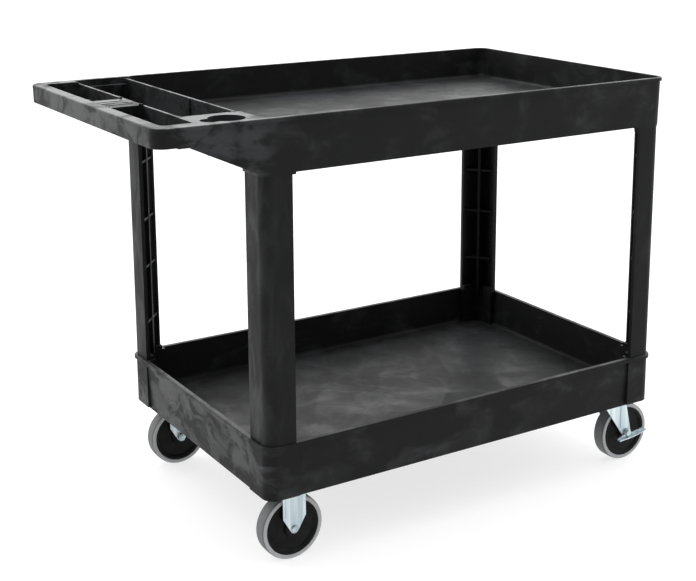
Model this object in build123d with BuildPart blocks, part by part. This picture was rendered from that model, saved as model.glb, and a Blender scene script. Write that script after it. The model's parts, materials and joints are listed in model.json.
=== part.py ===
"""Rolling utility cart: two moulded tub shelves on four corner posts, two rigid casters and two swivel casters.

Millimetres. +Z is up, +X is the direction of travel, and the push handle is at the -X end.
The origin is on the floor, under the middle of the whole cart.
Left is +Y and right is -Y for a person standing at the handle. Rear is the handle end.
"""
import os

from build123d import *

# ---------- Driving dimensions ----------
shelf_x = 80.75                          # middle of both shelves; every x below is measured from it
top_height = 847.0
handle_end = 660.0                       # outer face of the handle
handle_z = 812.5                         # underside of the handle
gusset_start = 604.0                     # where the underside starts to slope down to the post

low_rim = (471.0, 309.5)                 # half sizes
low_skirt_top = (465.0, 303.0)
low_skirt_bottom = (460.5, 299.0)
low_block = (466.5, 307.0)
low_rim_z = 249.5
low_lip = 8.0
low_skirt_z = 142.0
low_block_z = 145.5
low_floor_z = 165.0

top_rim = (470.0, 313.0)
top_skirt_top = (467.5, 308.5)
top_skirt_bottom = (466.5, 307.0)
top_block = (465.7, 306.3)
top_lip = 7.0
top_skirt_z = 748.0
top_block_z = 744.0
top_floor_z = 779.0
wall = 4.0
corner = 24.0

post_face = (464.5, 305.5)
post_flange = (58.0, 68.0)
post_depth = 17.5
post_skin = 5.0
post_rib = 4.0
post_cap = 8.0
post_webs = (330.0, 450.0, 552.0, 674.0)
web_thickness = 4.5
block_flange = (66.0, 74.0)
block_depth = 20.5
tenon_inset = 2.0
tenon_depth = 11.0
tenon_gap = 0.3
tenon_low = 52.0
tenon_high = 24.0

divider = 5.0
tray_start = -458.5                      # tray side of the divider beside the tray
bin_start = -566.0                       # handle side of the long bin
bin_floor = 792.0
ledge_z = 834.0
divider_top = 844.0
pocket_start = -637.0
bridge = 45.0                            # half the width of the bridge between the two pockets
pocket_outer = 281.0
cup = (-502.0, -249.0, 33.0)             # x, y, radius
cup_floor = 786.0
cup_lobe = (-537.0, -257.0, 18.0)
lobe_floor = 797.0
platform_y = -197.0
platform_end = -450.0
platform_top = 843.5

wheel_radius = 63.5
wheel_width = 30.0
core_radius = 54.5
caster_height = 158.75
caster_x = 395.0
caster_y = 252.0
swivel_trail = 40.0
plate_size = (95.0, 67.0)
plate_holes = (76.2, 44.5)
plate_thickness = 2.5
cheek_gap = 19.0                         # middle of the fork to the inner face of a cheek
cheek_thickness = 2.5
axle_radius = 5.0
head_radius = 7.0
sleeve_radius = 7.9
bearing_bore = 7.95
bearing_radius = 12.0
hub_width = 36.0
kingpin_radius = 6.0
screw_radius = 3.95
screw_depth = 5.0                        # into the lower shelf's floor

top_lip_z = top_height - top_lip
low_lip_z = low_rim_z - low_lip
bin_end = tray_start - divider
pocket_end = bin_start - divider
every_corner = [(sx, sy) for sx in (-1, 1) for sy in (-1, 1)]

os.makedirs("parts", exist_ok=True)


def save(part, name):
    part.label = name
    export_step(part, f"parts/{name}.step")


def at_height(z):
    return Plane.XY.offset(z)


def plan(half, radius, mode=Mode.ADD):
    """A rounded rectangle about the shelf middle, in the active sketch."""
    with Locations((shelf_x, 0)):
        RectangleRounded(2 * half[0], 2 * half[1], radius, mode=mode)


def span(x0, x1, y0, y1, radius=0.0, mode=Mode.ADD):
    """A rectangle given by its four sides, in the active sketch."""
    with Locations((shelf_x + (x0 + x1) / 2, (y0 + y1) / 2)):
        if radius:
            RectangleRounded(x1 - x0, y1 - y0, radius, mode=mode)
        else:
            Rectangle(x1 - x0, y1 - y0, mode=mode)


def spot(lobe, extra=0.0):
    """A circle given as (x, y, radius), grown by extra, in the active sketch."""
    with Locations((shelf_x + lobe[0], lobe[1])):
        Circle(lobe[2] + extra)


def inset(half, amount):
    return (half[0] - amount, half[1] - amount)


def corner_l(face, flange, depth, radius, corners):
    """L-shaped corner sections in the active sketch: a wall's outline kept only near the named corners."""
    plan(face, radius)
    plan(inset(face, depth), max(radius - depth, 2.0), mode=Mode.SUBTRACT)
    centres = []
    for sx, sy in corners:
        centres.append((shelf_x + sx * (face[0] - flange[0] / 2), sy * (face[1] - flange[1] / 2)))
    with Locations(*centres):
        Rectangle(flange[0], flange[1], mode=Mode.INTERSECT)


def drafted(low_half, low_z, high_half, high_z, radius):
    """A straight-sided tub between two rounded rectangles, in the active part."""
    with BuildSketch(at_height(low_z)) as low_outline:
        plan(low_half, radius)
    with BuildSketch(at_height(high_z)) as high_outline:
        plan(high_half, radius)
    loft([low_outline.sketch, high_outline.sketch])


def under_ribs():
    """The rib pattern under both shelves, cut out of the hollow in the active sketch."""
    for x in (-300, -150, 0, 150, 300):
        span(x - 1.5, x + 1.5, -310, 310, mode=Mode.SUBTRACT)
    for y in (-110, 0, 110):
        span(-464, 470, y - 1.5, y + 1.5, mode=Mode.SUBTRACT)


# ---------- Lower shelf ----------
with BuildPart() as low_tray_space:
    drafted(
        inset(low_skirt_bottom, 5.0), low_floor_z, inset(low_skirt_top, 4.5), low_rim_z + 1, corner - 4
    )
    fillet(low_tray_space.edges().group_by(Axis.Z)[0], 8.0)

caster_holes = []
for sx, sy in every_corner:
    for dx in (-plate_holes[0] / 2, plate_holes[0] / 2):
        for dy in (-plate_holes[1] / 2, plate_holes[1] / 2):
            caster_holes.append((shelf_x + sx * caster_x + dx, sy * caster_y + dy))

with BuildPart() as bottom_shelf:
    drafted(low_skirt_bottom, low_skirt_z, low_skirt_top, low_lip_z, corner)
    with BuildSketch(at_height(low_lip_z)):
        plan(low_rim, corner + 3)
    extrude(amount=low_lip)
    fillet(bottom_shelf.edges().group_by(Axis.Z)[-1], 3.0)
    add(low_tray_space.part, mode=Mode.SUBTRACT)
    # Hollow underside with ribs
    with BuildSketch(at_height(low_skirt_z)):
        plan(inset(low_skirt_bottom, wall), corner - 4)
        under_ribs()
    extrude(amount=caster_height - low_skirt_z, mode=Mode.SUBTRACT)
    # Corner sockets for the posts
    with BuildSketch(at_height(low_block_z)):
        corner_l(low_block, block_flange, block_depth, corner + 1, every_corner)
    extrude(amount=low_rim_z - low_block_z)
    with BuildSketch(at_height(low_rim_z)):
        corner_l(
            inset(post_face, tenon_inset - tenon_gap),
            inset(post_flange, 4.0 - tenon_gap),
            tenon_depth + 2 * tenon_gap,
            corner - 4,
            every_corner,
        )
    extrude(amount=-(tenon_low + 1), mode=Mode.SUBTRACT)
    # Blind holes for the caster screws
    with BuildSketch(at_height(caster_height)):
        with Locations(*caster_holes):
            Circle(screw_radius + 0.05)
    extrude(amount=screw_depth + 0.3, mode=Mode.SUBTRACT)
save(bottom_shelf.part, "bottom_shelf")

# ---------- Top shelf ----------
with BuildPart() as tray_space:
    with BuildSketch(at_height(top_floor_z)):
        span(tray_start, top_skirt_bottom[0] - 5.5, -300.5, 300.5, radius=corner - 6)
    with BuildSketch(at_height(top_height + 1)):
        span(tray_start, top_skirt_top[0] - 5.0, -304, 304, radius=corner - 6)
    loft()
    fillet(tray_space.edges().group_by(Axis.Z)[0], 8.0)
    # The cup platform bulges into the tray
    with BuildSketch(at_height(top_floor_z - 1)):
        span(tray_start - 30, platform_end, -330, platform_y, radius=12)
    extrude(amount=top_height, mode=Mode.SUBTRACT)

with BuildPart() as top_shelf:
    with BuildSketch(at_height(top_skirt_z)):
        span(-handle_end + 1, top_skirt_bottom[0], -top_skirt_bottom[1], top_skirt_bottom[1], radius=corner)
    with BuildSketch(at_height(top_lip_z)):
        span(-handle_end, top_skirt_top[0], -top_skirt_top[1], top_skirt_top[1], radius=corner)
    loft()
    with BuildSketch(at_height(top_lip_z)):
        span(-handle_end, top_rim[0], -top_rim[1], top_rim[1], radius=corner + 4)
    extrude(amount=top_lip)
    fillet(top_shelf.edges().group_by(Axis.Z)[-1], 3.0)
    # Flat underside of the handle, then the slope down to the rear posts
    with BuildSketch(Plane.XZ.offset(-400)):
        with BuildLine():
            Polyline(
                (shelf_x - handle_end - 20, handle_z),
                (shelf_x - gusset_start, handle_z),
                (shelf_x - post_face[0], top_skirt_z),
                (shelf_x - post_face[0], top_skirt_z - 30),
                (shelf_x - handle_end - 20, top_skirt_z - 30),
                close=True,
            )
        make_face()
    extrude(amount=800, mode=Mode.SUBTRACT)
    # Hollow behind the handle, between the two side gussets
    with BuildSketch(at_height(top_skirt_z - 10)):
        span(-gusset_start, -post_face[0], -303, 303)
    extrude(amount=handle_z - top_skirt_z + 10, mode=Mode.SUBTRACT)
    # The long bin's tub hangs in that hollow
    with BuildSketch(at_height(bin_floor - wall)):
        span(pocket_end, -post_face[0] + 2, platform_y - wall, 303)
    extrude(amount=handle_z - bin_floor + wall)
    # Hollow underside of the tray, with ribs
    with BuildSketch(at_height(top_skirt_z - 1)):
        span(-post_face[0] + wall, top_skirt_bottom[0] - wall, -303, 303, radius=corner - 6)
        under_ribs()
    extrude(amount=top_floor_z - wall - top_skirt_z + 1, mode=Mode.SUBTRACT)
    add(tray_space.part, mode=Mode.SUBTRACT)
    # Long bin, with a ledge at its left end
    with BuildSketch(at_height(bin_floor)):
        span(bin_start, bin_end, platform_y, 286, radius=8)
    extrude(amount=top_height - bin_floor, mode=Mode.SUBTRACT)
    with BuildSketch(at_height(ledge_z)):
        span(bin_start, bin_end, 200, 300, radius=8)
    extrude(amount=top_height - ledge_z, mode=Mode.SUBTRACT)
    # Dividers and the cup platform sit a little below the rim
    with BuildSketch(at_height(divider_top)):
        span(pocket_end, tray_start + 3, platform_y, 300)
    extrude(amount=top_height - divider_top, mode=Mode.SUBTRACT)
    with BuildSketch(at_height(platform_top)):
        span(pocket_end, platform_end + 3, -303, platform_y)
    extrude(amount=top_height - platform_top, mode=Mode.SUBTRACT)
    with Locations((shelf_x + bin_end, -18, bin_floor)):
        Cylinder(3, divider_top - bin_floor, align=(Align.CENTER, Align.CENTER, Align.MIN))
    # Hollow below the platform, then the cup recess with its small side lobe
    with BuildSketch(at_height(top_skirt_z)):
        span(bin_start, bin_end - 3, -303, platform_y - wall)
    extrude(amount=platform_top - wall - top_skirt_z, mode=Mode.SUBTRACT)
    with BuildSketch(at_height(cup_floor - wall)):
        spot(cup, wall)
    extrude(amount=platform_top - cup_floor + wall)
    with BuildSketch(at_height(lobe_floor - wall)):
        spot(cup_lobe, wall)
    extrude(amount=platform_top - lobe_floor + wall)
    with BuildSketch(at_height(cup_floor)):
        spot(cup)
    extrude(amount=80, mode=Mode.SUBTRACT)
    with BuildSketch(at_height(lobe_floor)):
        spot(cup_lobe)
    extrude(amount=80, mode=Mode.SUBTRACT)
    # Finger pockets behind the handle bar, and the grooved bridge between them
    with BuildSketch(at_height(handle_z + wall)):
        span(pocket_start, pocket_end, bridge, pocket_outer, radius=10)
        span(pocket_start, pocket_end, -pocket_outer, -bridge, radius=10)
    extrude(amount=60, mode=Mode.SUBTRACT)
    with BuildSketch(at_height(divider_top)):
        span(pocket_start, pocket_end + 1, -bridge - 1, bridge + 1)
    extrude(amount=10, mode=Mode.SUBTRACT)
    with BuildSketch(at_height(divider_top - 2)):
        for y in (-20, 0, 20):
            span(pocket_start + 6, pocket_end - 6, y - 3, y + 3, radius=2.9)
    extrude(amount=10, mode=Mode.SUBTRACT)
    # Corner sockets for the posts
    with BuildSketch(at_height(top_block_z)):
        corner_l(top_block, block_flange, block_depth, corner, every_corner)
    extrude(amount=top_floor_z - wall - top_block_z)
    with BuildSketch(at_height(top_block_z)):
        corner_l(
            inset(post_face, tenon_inset - tenon_gap),
            inset(post_flange, 4.0 - tenon_gap),
            tenon_depth + 2 * tenon_gap,
            corner - 4,
            every_corner,
        )
    extrude(amount=tenon_high + 1, mode=Mode.SUBTRACT)
save(top_shelf.part, "top_shelf")


# ---------- Posts ----------
def corner_point(sx, sy, x, y):
    return (shelf_x + sx * x, sy * y)


def corner_rectangle(sx, sy, x0, x1, y0, y1):
    """A rectangle in one corner's quadrant, in the active sketch."""
    with Locations(corner_point(sx, sy, (x0 + x1) / 2, (y0 + y1) / 2)):
        Rectangle(x1 - x0, y1 - y0)


def make_post(sx, sy):
    """An L-section post: a thin skin, a rib along the bisector, flat triangular webs, and tenons."""
    skin = inset(post_face, post_skin)
    end = (post_face[0] - post_flange[0], post_face[1] - post_flange[1])
    middle = ((end[0] + skin[0]) / 2, (end[1] + skin[1]) / 2)
    with BuildPart() as post:
        with BuildSketch(at_height(low_rim_z)):
            corner_l(post_face, post_flange, post_skin, corner - 2, [(sx, sy)])
        extrude(amount=top_block_z - low_rim_z)
        # Solid caps, where the post stands on its sockets
        for z in (low_rim_z, top_block_z - post_cap):
            with BuildSketch(at_height(z)):
                corner_l(post_face, post_flange, post_depth, corner - 2, [(sx, sy)])
            extrude(amount=post_cap)
        # A small bead stiffens the free edge of each flange
        with BuildSketch(at_height(low_rim_z)):
            corner_rectangle(sx, sy, end[0], end[0] + 5, post_face[1] - 8, post_face[1] - 1)
            corner_rectangle(sx, sy, post_face[0] - 8, post_face[0] - 1, end[1], end[1] + 5)
        extrude(amount=top_block_z - low_rim_z)
        # Upright rib from the corner to the middle of the webs' front edge
        with BuildSketch(at_height(low_rim_z)):
            with BuildLine():
                Polyline(
                    corner_point(sx, sy, skin[0] - 4 + post_rib / 2, skin[1] - 4 - post_rib / 2),
                    corner_point(sx, sy, skin[0] - 4 - post_rib / 2, skin[1] - 4 + post_rib / 2),
                    corner_point(sx, sy, middle[0] - post_rib / 2, middle[1] + post_rib / 2),
                    corner_point(sx, sy, middle[0] + post_rib / 2, middle[1] - post_rib / 2),
                    close=True,
                )
            make_face()
        extrude(amount=top_block_z - low_rim_z)
        # Flat triangular webs across the inside of the angle
        for z in post_webs:
            with BuildSketch(at_height(z - web_thickness / 2)):
                with BuildLine():
                    Polyline(
                        corner_point(sx, sy, end[0] + 1, skin[1] + 1),
                        corner_point(sx, sy, skin[0] - 12, skin[1] + 1),
                        corner_point(sx, sy, skin[0] + 1, skin[1] - 12),
                        corner_point(sx, sy, skin[0] + 1, end[1] + 1),
                        close=True,
                    )
                make_face()
            extrude(amount=web_thickness)
        # Tenons that push into the shelf sockets
        with BuildSketch(at_height(low_rim_z - tenon_low)):
            corner_l(
                inset(post_face, tenon_inset), inset(post_flange, 4.0), tenon_depth, corner - 4, [(sx, sy)]
            )
        extrude(amount=tenon_low)
        with BuildSketch(at_height(top_block_z)):
            corner_l(
                inset(post_face, tenon_inset), inset(post_flange, 4.0), tenon_depth, corner - 4, [(sx, sy)]
            )
        extrude(amount=tenon_high)
    return post.part


save(make_post(-1, 1), "rear_left_post")
save(make_post(-1, -1), "rear_right_post")
save(make_post(1, 1), "front_left_post")
save(make_post(1, -1), "front_right_post")


# ---------- Casters ----------
def upright(x, y):
    """A plane that stands across the axle at world y, with the axle as its origin, facing -Y."""
    return Plane(origin=(shelf_x + x, y, wheel_radius), x_dir=(1, 0, 0), z_dir=(0, -1, 0))


def slab(y_range, x):
    """The plane at the larger y of a range, and the extrusion that reaches the smaller y."""
    low, high = sorted(y_range)
    return upright(x, high), high - low


def ring(x, y_range, outer, inner=0.0):
    """A disc or washer about the axle, in the active part."""
    plane, depth = slab(y_range, x)
    with BuildSketch(plane) as outline:
        Circle(outer)
        if inner:
            Circle(inner, mode=Mode.SUBTRACT)
    extrude(outline.sketch, amount=depth)


def from_middle(y, side, near, far):
    """A y range given by two distances outwards from a caster's middle plane."""
    return (y + side * near, y + side * far)


def mounting_plate(x, y):
    """A caster plate with its four holes, in the active part."""
    with BuildSketch(at_height(caster_height - plate_thickness)) as outline:
        with Locations((shelf_x + x, y)):
            RectangleRounded(plate_size[0], plate_size[1], 8)
            with GridLocations(plate_holes[0], plate_holes[1], 2, 2):
                Circle(4.3, mode=Mode.SUBTRACT)
    extrude(outline.sketch, amount=plate_thickness)


def cheek_range(y, side):
    return from_middle(y, side, cheek_gap, cheek_gap + cheek_thickness)


def make_rigid_fork(x, y):
    with BuildPart() as fork:
        mounting_plate(x, y)
        for side in (-1, 1):
            plane, depth = slab(cheek_range(y, side), x)
            with BuildSketch(plane):
                with Locations((0, 58.5)):
                    Rectangle(48, 71)
                Circle(9)
                make_hull()
                Circle(axle_radius + 0.1, mode=Mode.SUBTRACT)
            extrude(amount=depth)
            # Pressed stiffening bead along the rear edge of each cheek
            plane, depth = slab(from_middle(y, side, cheek_gap + 2, cheek_gap + 3.7), x)
            with BuildSketch(plane):
                with Locations((-16.5, 57)):
                    RectangleRounded(4, 66, 1.9)
            extrude(amount=depth)
        # Shoulders where the cheeks turn into the plate
        for side in (-1, 1):
            plane, depth = slab(from_middle(y, side, cheek_gap - 3, cheek_gap + 5), x)
            with BuildSketch(plane):
                with Locations((0, caster_height - plate_thickness - wheel_radius - 1.5)):
                    Rectangle(47, 3)
            extrude(amount=depth)
    return fork.part


def make_swivel_plate(x, y):
    with BuildPart() as top_plate:
        mounting_plate(x, y)
        with BuildSketch(at_height(caster_height - plate_thickness - 3)):
            with Locations((shelf_x + x, y)):
                Circle(27)
        extrude(amount=3)
        with BuildSketch(at_height(caster_height + 1)):
            with Locations((shelf_x + x, y)):
                Circle(kingpin_radius + 0.02)
        extrude(amount=-12, mode=Mode.SUBTRACT)
    return top_plate.part


race_top = caster_height - plate_thickness - 3
race_bottom = race_top - 7
fork_top = race_bottom - 0.3
fork_under = fork_top - 3


def make_ball_race(x, y):
    with BuildPart() as ball_race:
        with BuildSketch(at_height(race_bottom)):
            with Locations((shelf_x + x, y)):
                Circle(28)
                Circle(12, mode=Mode.SUBTRACT)
        extrude(amount=race_top - race_bottom)
        outer_edges = ball_race.edges().filter_by(GeomType.CIRCLE).sort_by(SortBy.RADIUS)[-2:]
        fillet(outer_edges, 2.2)
    return ball_race.part


def make_kingpin(x, y):
    with BuildPart() as kingpin:
        with BuildSketch(at_height(fork_under - 4.7)):
            with Locations((shelf_x + x, y)):
                Circle(11)
        extrude(amount=4.4)
        chamfer(kingpin.edges().group_by(Axis.Z)[0], 1.5)
        with BuildSketch(at_height(fork_under - 1)):
            with Locations((shelf_x + x, y)):
                Circle(kingpin_radius)
        extrude(amount=caster_height - fork_under)
    return kingpin.part


def make_swivel_fork(x, y):
    with BuildPart() as fork:
        with BuildSketch(at_height(fork_under)):
            with Locations((shelf_x + x, y)):
                Circle(31)
                Rectangle(60, 2 * (cheek_gap + cheek_thickness))
        extrude(amount=fork_top - fork_under)
        for side in (-1, 1):
            plane, depth = slab(cheek_range(y, side), x + swivel_trail)
            with BuildSketch(plane):
                with Locations((3 - swivel_trail, fork_top - wheel_radius - 4)):
                    Rectangle(60, 8)
                Circle(12)
                make_hull()
                Circle(axle_radius + 0.1, mode=Mode.SUBTRACT)
            extrude(amount=depth)
            # Pressed stiffening bead down each cheek
            plane, depth = slab(from_middle(y, side, cheek_gap + 2, cheek_gap + 3.7), x + swivel_trail)
            with BuildSketch(plane):
                with Locations((-17, 42)):
                    RectangleRounded(4, 56, 1.9)
            extrude(amount=depth)
        # Rounded shoulders keep the fork clear of the shelf's corner socket all the way round
        with BuildSketch(at_height(low_skirt_z - 4)):
            with Locations((shelf_x + x, y)):
                Circle(90)
                Circle(33.8, mode=Mode.SUBTRACT)
        extrude(amount=20, mode=Mode.SUBTRACT)
        with BuildSketch(at_height(fork_top + 1)):
            with Locations((shelf_x + x, y)):
                Circle(kingpin_radius + 0.05)
        extrude(amount=-8, mode=Mode.SUBTRACT)
    return fork.part


def make_axle_bolt(x, y, side, head_at, nut_end):
    with BuildPart() as bolt:
        ring(x, from_middle(y, side, head_at, head_at + 4), head_radius)
        outer_edge = bolt.edges().sort_by(Axis.Y)[-1 if side > 0 else 0]
        fillet(outer_edge, 2.5)
        ring(x, from_middle(y, side, -nut_end, head_at + 1), axle_radius)
    return bolt.part


def make_axle_nut(x, y, side):
    near = cheek_gap + cheek_thickness
    plane, depth = slab(from_middle(y, -side, near, near + 6.5), x)
    with BuildPart() as nut:
        with BuildSketch(plane):
            RegularPolygon(8.5, 6)
            Circle(axle_radius + 0.03, mode=Mode.SUBTRACT)
        extrude(amount=depth)
    return nut.part


def make_axle_sleeve(x, y):
    with BuildPart() as sleeve:
        ring(x, (y - cheek_gap, y + cheek_gap), sleeve_radius, axle_radius + 0.05)
    return sleeve.part


def make_hub_bearing(x, y):
    with BuildPart() as bearing:
        ring(x, (y - hub_width / 2, y + hub_width / 2), bearing_radius, bearing_bore)
    return bearing.part


def axle_section(x, y):
    """A plane through the axle: local x is the radius and local y runs along the axle."""
    return Plane(origin=(shelf_x + x, y, wheel_radius), x_dir=(0, 0, 1), z_dir=(-1, 0, 0))


def axle_axis(x, y):
    return Axis((shelf_x + x, y, wheel_radius), (0, 1, 0))


def make_wheel_core(x, y):
    half = hub_width / 2
    rim = wheel_width / 2 - 1.0
    dish = 11.0
    with BuildPart() as core:
        with BuildSketch(axle_section(x, y)):
            with BuildLine():
                Polyline(
                    (bearing_radius + 0.02, -half),
                    (17, -half),
                    (19, -dish - 1.5),
                    (45, -dish),
                    (47, -dish - 2),
                    (49, -dish - 2),
                    (50, -rim),
                    (core_radius, -rim),
                    (core_radius, rim),
                    (50, rim),
                    (49, dish + 2),
                    (47, dish + 2),
                    (45, dish),
                    (19, dish + 1.5),
                    (17, half),
                    (bearing_radius + 0.02, half),
                    close=True,
                )
            make_face()
        revolve(axis=axle_axis(x, y))
    return core.part


def make_tyre(x, y):
    half = wheel_width / 2
    tread = wheel_radius - 0.5
    with BuildPart() as tyre:
        with BuildSketch(axle_section(x, y)):
            with BuildLine():
                Polyline(
                    (wheel_radius - 3.5, -half),
                    (core_radius + 1, -half),
                    (core_radius + 0.02, 1 - half),
                    (core_radius + 0.02, half - 1),
                    (core_radius + 1, half),
                    (wheel_radius - 3.5, half),
                )
                RadiusArc((wheel_radius - 3.5, half), (tread, half - 3.5), 3.6)
                ThreePointArc((tread, half - 3.5), (wheel_radius, 0), (tread, 3.5 - half))
                RadiusArc((tread, 3.5 - half), (wheel_radius - 3.5, -half), 3.6)
            make_face()
        revolve(axis=axle_axis(x, y))
    return tyre.part


washer_end = cheek_gap + cheek_thickness + 1.5
lever_start = washer_end + 0.3
lever_end = lever_start + 3
brake_head = lever_end + 0.3
foot_width = 10.0


def make_brake_washer(x, y, side):
    with BuildPart() as washer:
        ring(x, from_middle(y, side, cheek_gap + cheek_thickness, washer_end), 9.5, axle_radius + 0.05)
    return washer.part


def make_brake_lever(x, y, side):
    """A slim two-armed pedal: an upright plate on the axle bolt, with a curved foot flange along its lower edge."""
    plane, depth = slab(from_middle(y, side, lever_start, lever_end), x)
    foot_plane, foot_depth = slab(from_middle(y, side, lever_start, lever_start + foot_width), x)
    with BuildPart() as lever:
        with BuildSketch(plane):
            Circle(8.7)
        extrude(amount=depth)
        for root, tip in (((-4, -4.5), (-27, -9.5)), ((4, -4), (27, -3.5)), ((20, -3.7), (46, 1))):
            with BuildSketch(plane):
                with Locations(root):
                    Circle(3.8)
                with Locations(tip):
                    Circle(2)
                make_hull()
            extrude(amount=depth)
        with BuildSketch(foot_plane):
            with BuildLine():
                lower = Spline((-29, -12), (-12, -11.2), (6, -10), (26, -7), (48, -1.5))
                upper = Spline((-29, -9.5), (-12, -8.7), (6, -7.5), (26, -4.5), (48, 1))
                Line(lower @ 0, upper @ 0)
                Line(lower @ 1, upper @ 1)
            make_face()
        extrude(amount=foot_depth)
        with BuildSketch(plane):
            Circle(axle_radius + 0.06)
        extrude(amount=depth, mode=Mode.SUBTRACT)
    return lever.part


def save_wheel(x, y, name):
    save(make_axle_sleeve(x, y), f"{name}_axle_sleeve")
    save(make_axle_nut(x, y, 1 if y > 0 else -1), f"{name}_axle_nut")
    save(make_hub_bearing(x, y), f"{name}_hub_bearing")
    save(make_wheel_core(x, y), f"{name}_wheel_core")
    save(make_tyre(x, y), f"{name}_tyre")


for name, y in (("rear_left", caster_y), ("rear_right", -caster_y)):
    out = 1 if y > 0 else -1
    save(make_rigid_fork(-caster_x, y), f"{name}_rigid_fork")
    save(
        make_axle_bolt(-caster_x, y, out, cheek_gap + cheek_thickness, cheek_gap + cheek_thickness + 8),
        f"{name}_axle_bolt",
    )
    save_wheel(-caster_x, y, name)

for name, y in (("front_left", caster_y), ("front_right", -caster_y)):
    out = 1 if y > 0 else -1
    save(make_swivel_plate(caster_x, y), f"{name}_swivel_plate")
    save(make_ball_race(caster_x, y), f"{name}_ball_race")
    save(make_kingpin(caster_x, y), f"{name}_kingpin")
    save(make_swivel_fork(caster_x, y), f"{name}_swivel_fork")
    axle_x = caster_x + swivel_trail
    save(
        make_axle_bolt(axle_x, y, out, brake_head, cheek_gap + cheek_thickness + 8), f"{name}_axle_bolt"
    )
    save_wheel(axle_x, y, name)
    save(make_brake_washer(axle_x, y, out), f"{name}_brake_washer")
    save(make_brake_lever(axle_x, y, out), f"{name}_brake_lever")

# ---------- Caster screws ----------
with BuildPart() as caster_screws:
    with BuildSketch(at_height(caster_height - plate_thickness)):
        with Locations(*caster_holes):
            Circle(screw_radius)
    extrude(amount=plate_thickness + screw_depth)
    # Flanged hexagon heads below the plates
    with BuildSketch(at_height(caster_height - plate_thickness)):
        with Locations(*caster_holes):
            Circle(8)
    extrude(amount=-1.5)
    with BuildSketch(at_height(caster_height - plate_thickness - 1.5)):
        with Locations(*caster_holes):
            RegularPolygon(6.9, 6)
    extrude(amount=-4.5)
save(caster_screws.part, "caster_screws")
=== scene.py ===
import json
import math

import bmesh
import bpy
from mathutils import Matrix, Vector


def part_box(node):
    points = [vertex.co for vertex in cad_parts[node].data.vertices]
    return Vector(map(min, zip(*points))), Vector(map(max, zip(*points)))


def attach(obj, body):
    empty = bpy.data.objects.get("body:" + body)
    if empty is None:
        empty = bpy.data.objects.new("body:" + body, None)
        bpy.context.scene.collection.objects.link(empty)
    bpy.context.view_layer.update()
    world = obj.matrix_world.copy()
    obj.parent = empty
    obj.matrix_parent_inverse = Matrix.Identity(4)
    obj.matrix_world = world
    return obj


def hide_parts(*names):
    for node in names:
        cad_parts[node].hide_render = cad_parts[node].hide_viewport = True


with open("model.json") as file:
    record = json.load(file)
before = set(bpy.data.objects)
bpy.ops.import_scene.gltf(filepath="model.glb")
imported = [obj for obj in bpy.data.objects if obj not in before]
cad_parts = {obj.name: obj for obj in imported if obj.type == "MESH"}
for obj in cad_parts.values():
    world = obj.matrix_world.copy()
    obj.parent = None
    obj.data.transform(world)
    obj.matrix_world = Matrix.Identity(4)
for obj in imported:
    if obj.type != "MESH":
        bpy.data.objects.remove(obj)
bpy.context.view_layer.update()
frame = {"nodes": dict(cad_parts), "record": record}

# The cart, in metres
SHELF_LOW, SHELF_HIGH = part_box("bottom_shelf")
TYRE_LOW, TYRE_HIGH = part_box("front_left_tyre")
SHELF_X = (SHELF_LOW.x + SHELF_HIGH.x) / 2               # middle of both shelves
CASTER_Y = (TYRE_LOW.y + TYRE_HIGH.y) / 2                # from the cart's middle plane to a wheel's
SIDE_WALL = (TYRE_HIGH.y - TYRE_LOW.y) / 2 - 0.0005      # from there to just inside the tyre's side
RUBBED_FROM, RUBBED_TO = -0.33, -0.40    # x where the rubbing by hands sets in, and where it is full
SHELF_EDGE, POST_EDGE = 0.0012, 0.001    # width of the rounding along a moulded edge
EDGE_SEGMENTS = 2
EDGE_ANGLE = math.radians(35)            # an edge that turns more than this is rounded
FLAT_ANGLE = math.radians(0.6)           # faces that turn less than this are merged into one
WELD = 0.00001                           # points nearer than this are joined

# The photograph's camera: pixels, degrees, and metres
PHOTO_WIDTH = 696
FOCAL = 1324.71
SHIFT = (-22.91, -107.23)
YAW, PITCH, ROLL = -32.4989, 12.5336, -0.0874
CAMERA = (-1.49124, -2.25914, 1.22403)   # from the point on the floor under the shelves' middle
SENSOR = 36.0

# The studio
FLOOR_HALF = 30
FLOOR_GLOW = 0.72
WORLD_FRONT, WORLD_BEHIND = 0.32, 2.4    # its light from the camera's side and from behind the cart
TOWARDS_BEHIND = (0.5, 0.8, 0.33)        # the way from the camera's side to behind the cart


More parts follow.
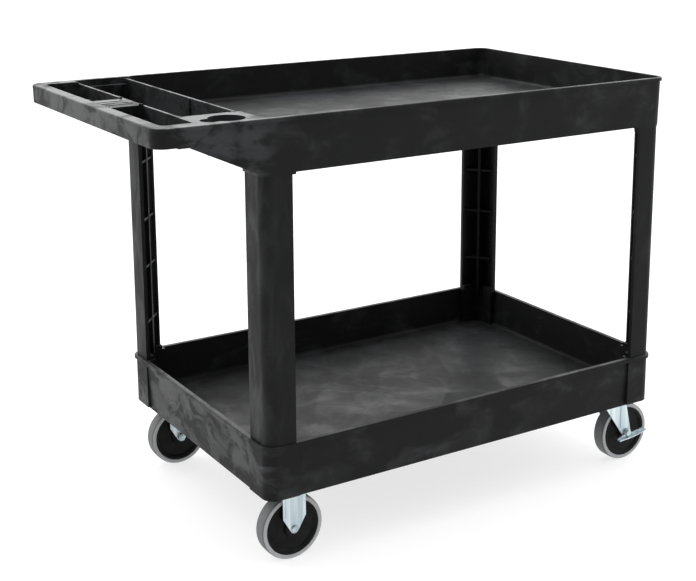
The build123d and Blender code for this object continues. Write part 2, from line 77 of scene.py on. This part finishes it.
# ---------- Node helpers ----------
class Nodes:
    """A short way to write one material's node tree."""

    def __init__(self, name):
        self.material = bpy.data.materials.new(name)
        self.material.use_nodes = True
        self.tree = self.material.node_tree
        self.tree.nodes.clear()
        self.output = self.tree.nodes.new("ShaderNodeOutputMaterial")
        self.shader = self.tree.nodes.new("ShaderNodeBsdfPrincipled")
        self.tree.links.new(self.shader.outputs[0], self.output.inputs["Surface"])
        self.place = self.tree.nodes.new("ShaderNodeTexCoord").outputs["Object"]

    def feed(self, value, socket):
        """Put a constant or another node's output into a socket."""
        if isinstance(value, (int, float, tuple)):
            socket.default_value = value
        else:
            self.tree.links.new(value, socket)

    def scaled(self, x, y, z, turn=(0, 0, 0)):
        """Object coordinates, stretched and turned."""
        node = self.tree.nodes.new("ShaderNodeMapping")
        self.feed(self.place, node.inputs["Vector"])
        node.inputs["Scale"].default_value = (x, y, z)
        node.inputs["Rotation"].default_value = turn
        return node.outputs[0]

    def noise(self, scale, detail=2.0, rough=0.5, twist=0.0, place=None):
        node = self.tree.nodes.new("ShaderNodeTexNoise")
        self.feed(place or self.place, node.inputs["Vector"])
        node.inputs["Scale"].default_value = scale
        node.inputs["Detail"].default_value = detail
        node.inputs["Roughness"].default_value = rough
        node.inputs["Distortion"].default_value = twist
        return node.outputs["Fac"]

    def spots(self, scale, place=None, feature="F1"):
        """Distance to the nearest of many scattered points."""
        node = self.tree.nodes.new("ShaderNodeTexVoronoi")
        node.feature = feature
        self.feed(place or self.place, node.inputs["Vector"])
        node.inputs["Scale"].default_value = scale
        return node.outputs["Distance"]

    def tiles(self, scale, place):
        """A soft patchwork of squares, one random level each."""
        node = self.tree.nodes.new("ShaderNodeTexVoronoi")
        node.voronoi_dimensions = "2D"
        node.distance = "CHEBYCHEV"
        node.feature = "SMOOTH_F1"
        self.feed(place, node.inputs["Vector"])
        node.inputs["Scale"].default_value = scale
        node.inputs["Randomness"].default_value = 0.25
        node.inputs["Smoothness"].default_value = 0.12
        parts = self.tree.nodes.new("ShaderNodeSeparateColor")
        self.tree.links.new(node.outputs["Color"], parts.inputs[0])
        return parts.outputs[0]

    def warped(self, place, scale, amount):
        """The same coordinates, pushed about by a slow noise."""
        noise = self.tree.nodes.new("ShaderNodeTexNoise")
        self.feed(place, noise.inputs["Vector"])
        noise.inputs["Scale"].default_value = scale
        push = self.tree.nodes.new("ShaderNodeVectorMath")
        push.operation = "MULTIPLY_ADD"
        self.tree.links.new(noise.outputs["Color"], push.inputs[0])
        push.inputs[1].default_value = (amount, amount, amount)
        self.feed(place, push.inputs[2])
        return push.outputs[0]

    def span(self, value, low, high, to_low=0.0, to_high=1.0):
        """Map low..high smoothly onto to_low..to_high."""
        node = self.tree.nodes.new("ShaderNodeMapRange")
        node.clamp = True
        node.interpolation_type = "SMOOTHSTEP"
        self.feed(value, node.inputs["Value"])
        node.inputs["From Min"].default_value = low
        node.inputs["From Max"].default_value = high
        node.inputs["To Min"].default_value = to_low
        node.inputs["To Max"].default_value = to_high
        return node.outputs[0]

    def math(self, kind, *values):
        node = self.tree.nodes.new("ShaderNodeMath")
        node.operation = kind
        for value, socket in zip(values, node.inputs):
            self.feed(value, socket)
        return node.outputs[0]

    def blend(self, amount, first, second):
        node = self.tree.nodes.new("ShaderNodeMix")
        node.data_type = "RGBA"
        self.feed(amount, node.inputs[0])
        self.feed(first, node.inputs[6])
        self.feed(second, node.inputs[7])
        return node.outputs[2]

    def up_facing(self):
        """1 on faces that look up and 0 on the others."""
        node = self.tree.nodes.new("ShaderNodeNewGeometry")
        parts = self.tree.nodes.new("ShaderNodeSeparateXYZ")
        self.tree.links.new(node.outputs["Normal"], parts.inputs[0])
        return self.span(parts.outputs["Z"], 0.6, 0.95)

    def place_axis(self, axis):
        """One object coordinate."""
        parts = self.tree.nodes.new("ShaderNodeSeparateXYZ")
        self.feed(self.place, parts.inputs[0])
        return parts.outputs[axis]

    def bump(self, height, strength, distance, under=None):
        node = self.tree.nodes.new("ShaderNodeBump")
        self.feed(height, node.inputs["Height"])
        node.inputs["Strength"].default_value = strength
        node.inputs["Distance"].default_value = distance
        if under is not None:
            self.tree.links.new(under, node.inputs["Normal"])
        return node.outputs[0]

    def finish(self, color, rough, normal=None, metallic=0.0, specular=0.5):
        """Feed the shader and return the material."""
        self.feed(color, self.shader.inputs["Base Color"])
        self.feed(rough, self.shader.inputs["Roughness"])
        self.shader.inputs["Metallic"].default_value = metallic
        self.shader.inputs["Specular IOR Level"].default_value = specular
        if normal is not None:
            self.tree.links.new(normal, self.shader.inputs["Normal"])
        return self.material


def grey(value, blue=0.0):
    """A grey that leans towards blue."""
    return (value, value * (1 + blue * 0.4), value * (1 + blue), 1.0)


# ---------- Materials ----------
def foam_plastic(name, dark, light, stretch, marks):
    """Black structural foam: satin, cloudy, with arced flow marks, fine grain, small pits and dust."""
    m = Nodes(name)
    turned = m.scaled(*stretch)
    clouds = m.noise(6.0, 4.0, 0.55, 1.2, turned)
    swirls = m.noise(15.0, 5.0, 0.62, 0.8, turned)
    diagonal = m.scaled(1.0, 1.0, 1.0, turn=(0.0, 0.0, 0.62))
    tiles = m.math("MULTIPLY", m.tiles(7.4, m.warped(diagonal, 2.6, 0.09)), m.up_facing())
    rings = m.spots(6.5, m.warped(turned, 2.5, 0.1), "SMOOTH_F1")
    arcs = m.math("MULTIPLY", m.span(rings, 0.40, 0.47), m.span(rings, 0.62, 0.5))
    arcs = m.math("MULTIPLY", arcs, m.span(swirls, 0.35, 0.6, 0.25, 1.0))
    rubbed = m.span(m.place_axis("X"), RUBBED_FROM, RUBBED_TO)
    rubbed = m.math("MULTIPLY", rubbed, m.span(swirls, 0.36, 0.56))
    tone = m.math("ADD", m.span(clouds, 0.4, 0.7, 0.0, 0.45), m.span(swirls, 0.42, 0.72, 0.0, 0.3))
    for mark, share in ((rubbed, 0.7), (tiles, 0.55), (arcs, 0.3)):
        tone = m.math("ADD", tone, m.math("MULTIPLY", mark, share * marks))
    pits = m.spots(520.0)
    color = m.blend(m.span(tone, 0.15, 1.35), grey(dark, 0.1), grey(light, 0.1))
    dust = m.math("MULTIPLY", m.up_facing(), m.span(m.noise(9.0, 5.0, 0.65), 0.4, 0.75, 0.05, 0.35))
    color = m.blend(dust, color, grey(0.05, 0.05))
    rough = m.math("ADD", m.span(tone, 0.1, 1.3, 0.56, 0.34), m.span(pits, 0.0, 0.5, 0.06, 0.0))
    grain = m.bump(m.noise(900.0, 3.0, 0.6), 0.22, 0.0004)
    pitted = m.bump(m.span(pits, 0.05, 0.35), 0.12, 0.0005, grain)
    waves = m.bump(clouds, 0.2, 0.003, pitted)
    return m.finish(color, rough, waves, specular=0.13)


def zinc_steel(name, tone):
    """Bright zinc plate with faint upright rolling streaks and a few dull patches."""
    m = Nodes(name)
    streaks = m.noise(70.0, 4.0, 0.6, 0.2, m.scaled(1.0, 1.0, 0.06))
    dull = m.span(m.noise(30.0, 3.0, 0.6), 0.5, 0.75, 0.0, 0.5)
    bright = (tone * 0.86, tone * 0.98, tone, 1.0)
    darker = (tone * 0.58, tone * 0.7, tone * 0.76, 1.0)
    color = m.blend(m.span(streaks, 0.35, 0.65), bright, darker)
    color = m.blend(dull, color, grey(tone * 0.7, 0.04))
    rough = m.span(streaks, 0.3, 0.7, 0.3, 0.46)
    normal = m.bump(m.noise(700.0, 2.0), 0.08, 0.0003)
    return m.finish(color, rough, normal, metallic=1.0)


def wheel_plastic(name, light):
    """Moulded black hub plastic with a faint mottle."""
    m = Nodes(name)
    color = m.blend(m.span(m.noise(60.0, 4.0), 0.4, 0.7), grey(0.003, 0.1), grey(light, 0.1))
    rough = m.span(m.noise(25.0, 3.0), 0.3, 0.7, 0.36, 0.52)
    return m.finish(color, rough, m.bump(m.noise(800.0, 2.0), 0.2, 0.0003), specular=0.1)


def grey_rubber():
    """Grey rubber: light side walls, a scuffed tread painted darker as shade, and a dark line where
    they meet.
    """
    m = Nodes("grey_rubber")
    scuffs = m.noise(130.0, 5.0, 0.7)
    across = m.math("SUBTRACT", m.math("ABSOLUTE", m.place_axis("Y")), CASTER_Y)
    across = m.math("ABSOLUTE", across)
    side = m.span(across, SIDE_WALL - 0.0012, SIDE_WALL - 0.0002)
    line = m.span(across, SIDE_WALL - 0.004, SIDE_WALL - 0.0022)
    line = m.math("MULTIPLY", line, m.math("SUBTRACT", 1.0, side))
    # painted shade: the tread's colour is set well below the side walls' to stand for the shade it
    # lies in, and the next line adds random darker patches
    shaded_tread = m.blend(m.span(scuffs, 0.35, 0.75), grey(0.1, 0.04), grey(0.15, 0.05))
    shaded_tread = m.blend(m.span(m.noise(18.0, 4.0, 0.6), 0.5, 0.8, 0.0, 0.5), shaded_tread, grey(0.06))
    wall = m.blend(m.span(scuffs, 0.35, 0.75), grey(0.33, 0.04), grey(0.4, 0.05))
    color = m.blend(side, shaded_tread, wall)
    color = m.blend(m.math("MULTIPLY", line, 0.6), color, grey(0.04))
    rough = m.span(scuffs, 0.3, 0.7, 0.5, 0.7)
    return m.finish(color, rough, m.bump(m.noise(1200.0, 2.0), 0.2, 0.0002))


MATERIALS = {
    "shelf_plastic": foam_plastic("shelf_foam", 0.006, 0.032, (1.0, 1.0, 1.5), 1.0),
    "post_plastic": foam_plastic("post_foam", 0.006, 0.022, (2.0, 2.0, 0.7), 0.4),
    "zinc_steel": zinc_steel("zinc_sheet", 0.74),
    "plated_fastener": zinc_steel("plated_parts", 0.62),
    "wheel_plastic": wheel_plastic("wheel_core_plastic", 0.007),
    "bearing_plastic": wheel_plastic("bearing_plastic", 0.015),
    "grey_tyre": grey_rubber(),
}
SLOT_OF = {part["node"]: part["material_slot"] for part in frame["record"]["subparts"]}
BODY_OF = {
    node: body for body, nodes in frame["record"]["behaviour"]["bodies"].items() for node in nodes
}


def dress(thing, slot):
    """Give a piece the material of its slot alone."""
    thing.data.materials.clear()
    thing.data.materials.append(MATERIALS[slot])


for name, thing in frame["nodes"].items():
    dress(thing, SLOT_OF[name])


# ---------- Moulded pieces with rounded edges ----------
def rounded(name, width):
    """A detailed stand-in for one CAD node: the same shape with every crisp edge rounded over."""
    shape = bmesh.new()
    shape.from_mesh(frame["nodes"][name].data)
    bmesh.ops.remove_doubles(shape, verts=shape.verts, dist=WELD)
    bmesh.ops.dissolve_limit(shape, angle_limit=FLAT_ANGLE, verts=shape.verts, edges=shape.edges)
    for face in shape.faces:
        face.smooth = True
    mesh = bpy.data.meshes.new(name + "_rounded")
    shape.to_mesh(mesh)
    shape.free()
    piece = bpy.data.objects.new(name + "_rounded", mesh)
    bpy.context.scene.collection.objects.link(piece)
    edges = piece.modifiers.new("rounded_edges", "BEVEL")
    edges.width = width
    edges.segments = EDGE_SEGMENTS
    edges.limit_method = "ANGLE"
    edges.angle_limit = EDGE_ANGLE
    edges.miter_outer = "MITER_ARC"
    piece.modifiers.new("even_shading", "WEIGHTED_NORMAL")
    dress(piece, SLOT_OF[name])
    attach(piece, BODY_OF[name])
    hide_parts(name)


for node in ("top_shelf", "bottom_shelf"):
    rounded(node, SHELF_EDGE)
for node in ("rear_left_post", "rear_right_post", "front_left_post", "front_right_post"):
    rounded(node, POST_EDGE)


# ---------- Floor, light and camera ----------
def make_floor():
    """A pale matt floor with a glow of its own, which keeps the cart's shadow faint."""
    mesh = bpy.data.meshes.new("studio_floor")
    shape = bmesh.new()
    bmesh.ops.create_grid(shape, x_segments=8, y_segments=8, size=FLOOR_HALF)
    shape.to_mesh(mesh)
    shape.free()
    floor = bpy.data.objects.new("studio_floor", mesh)
    bpy.context.scene.collection.objects.link(floor)
    m = Nodes("studio_floor")
    color = m.blend(m.span(m.noise(0.6, 2.0), 0.3, 0.7), grey(0.32), grey(0.34))
    m.shader.inputs["Emission Color"].default_value = (1.0, 1.0, 1.0, 1.0)
    m.shader.inputs["Emission Strength"].default_value = FLOOR_GLOW
    mesh.materials.append(m.finish(color, 0.9, specular=0.1))


def make_light(name, place, target, size, power):
    """A soft rectangular lamp at place, aimed at target."""
    light = bpy.data.lights.new(name, "AREA")
    light.shape = "RECTANGLE"
    light.size, light.size_y = size
    light.energy = power
    thing = bpy.data.objects.new(name, light)
    bpy.context.scene.collection.objects.link(thing)
    thing.location = place
    thing.rotation_mode = "QUATERNION"
    thing.rotation_quaternion = (Vector(target) - Vector(place)).to_track_quat("-Z", "Y")


def make_world():
    """A pale studio, brighter behind the cart than on the camera's side."""
    world = bpy.data.worlds.new("studio")
    world.use_nodes = True
    tree = world.node_tree
    direction = tree.nodes.new("ShaderNodeTexCoord").outputs["Generated"]
    facing = tree.nodes.new("ShaderNodeVectorMath")
    facing.operation = "DOT_PRODUCT"
    tree.links.new(direction, facing.inputs[0])
    facing.inputs[1].default_value = TOWARDS_BEHIND
    level = tree.nodes.new("ShaderNodeMapRange")
    level.interpolation_type = "SMOOTHSTEP"
    tree.links.new(facing.outputs["Value"], level.inputs["Value"])
    level.inputs["From Min"].default_value = -0.7
    level.inputs["From Max"].default_value = 0.7
    level.inputs["To Min"].default_value = WORLD_FRONT
    level.inputs["To Max"].default_value = WORLD_BEHIND
    tree.links.new(level.outputs[0], tree.nodes["Background"].inputs["Strength"])
    tree.nodes["Background"].inputs["Color"].default_value = (1.0, 1.0, 1.0, 1.0)
    bpy.context.scene.world = world


def make_camera():
    """The photograph's view: from behind the handle, off the right side, a little above the cart."""
    yaw, pitch, roll = (math.radians(angle) for angle in (YAW, PITCH, ROLL))
    back = Vector((math.sin(yaw) * math.cos(pitch), -math.cos(yaw) * math.cos(pitch), math.sin(pitch)))
    side = Vector((math.cos(yaw), math.sin(yaw), 0.0))
    up = back.cross(side)
    right = math.cos(roll) * side + math.sin(roll) * up
    up = -math.sin(roll) * side + math.cos(roll) * up
    camera = bpy.data.objects.new("camera", bpy.data.cameras.new("camera"))
    bpy.context.scene.collection.objects.link(camera)
    camera.data.sensor_width = SENSOR
    camera.data.lens = FOCAL / PHOTO_WIDTH * SENSOR
    camera.data.shift_x = SHIFT[0] / PHOTO_WIDTH
    camera.data.shift_y = SHIFT[1] / PHOTO_WIDTH
    camera.data.clip_end = 100.0
    turn = Matrix((right, up, back)).transposed().to_4x4()
    camera.matrix_world = Matrix.Translation(Vector(CAMERA) + Vector((SHELF_X, 0.0, 0.0))) @ turn
    bpy.context.scene.camera = camera


make_floor()
make_world()
make_light("overhead", place=(-0.3, 0.6, 3.2), target=(0.1, 0.0, 0.5), size=(3.0, 2.4), power=40)
make_light("handle_side", place=(-3.0, -1.6, 2.4), target=(0.0, 0.0, 0.5), size=(2.0, 1.6), power=6)
make_camera()
bpy.context.scene.view_settings.view_transform = "Standard"
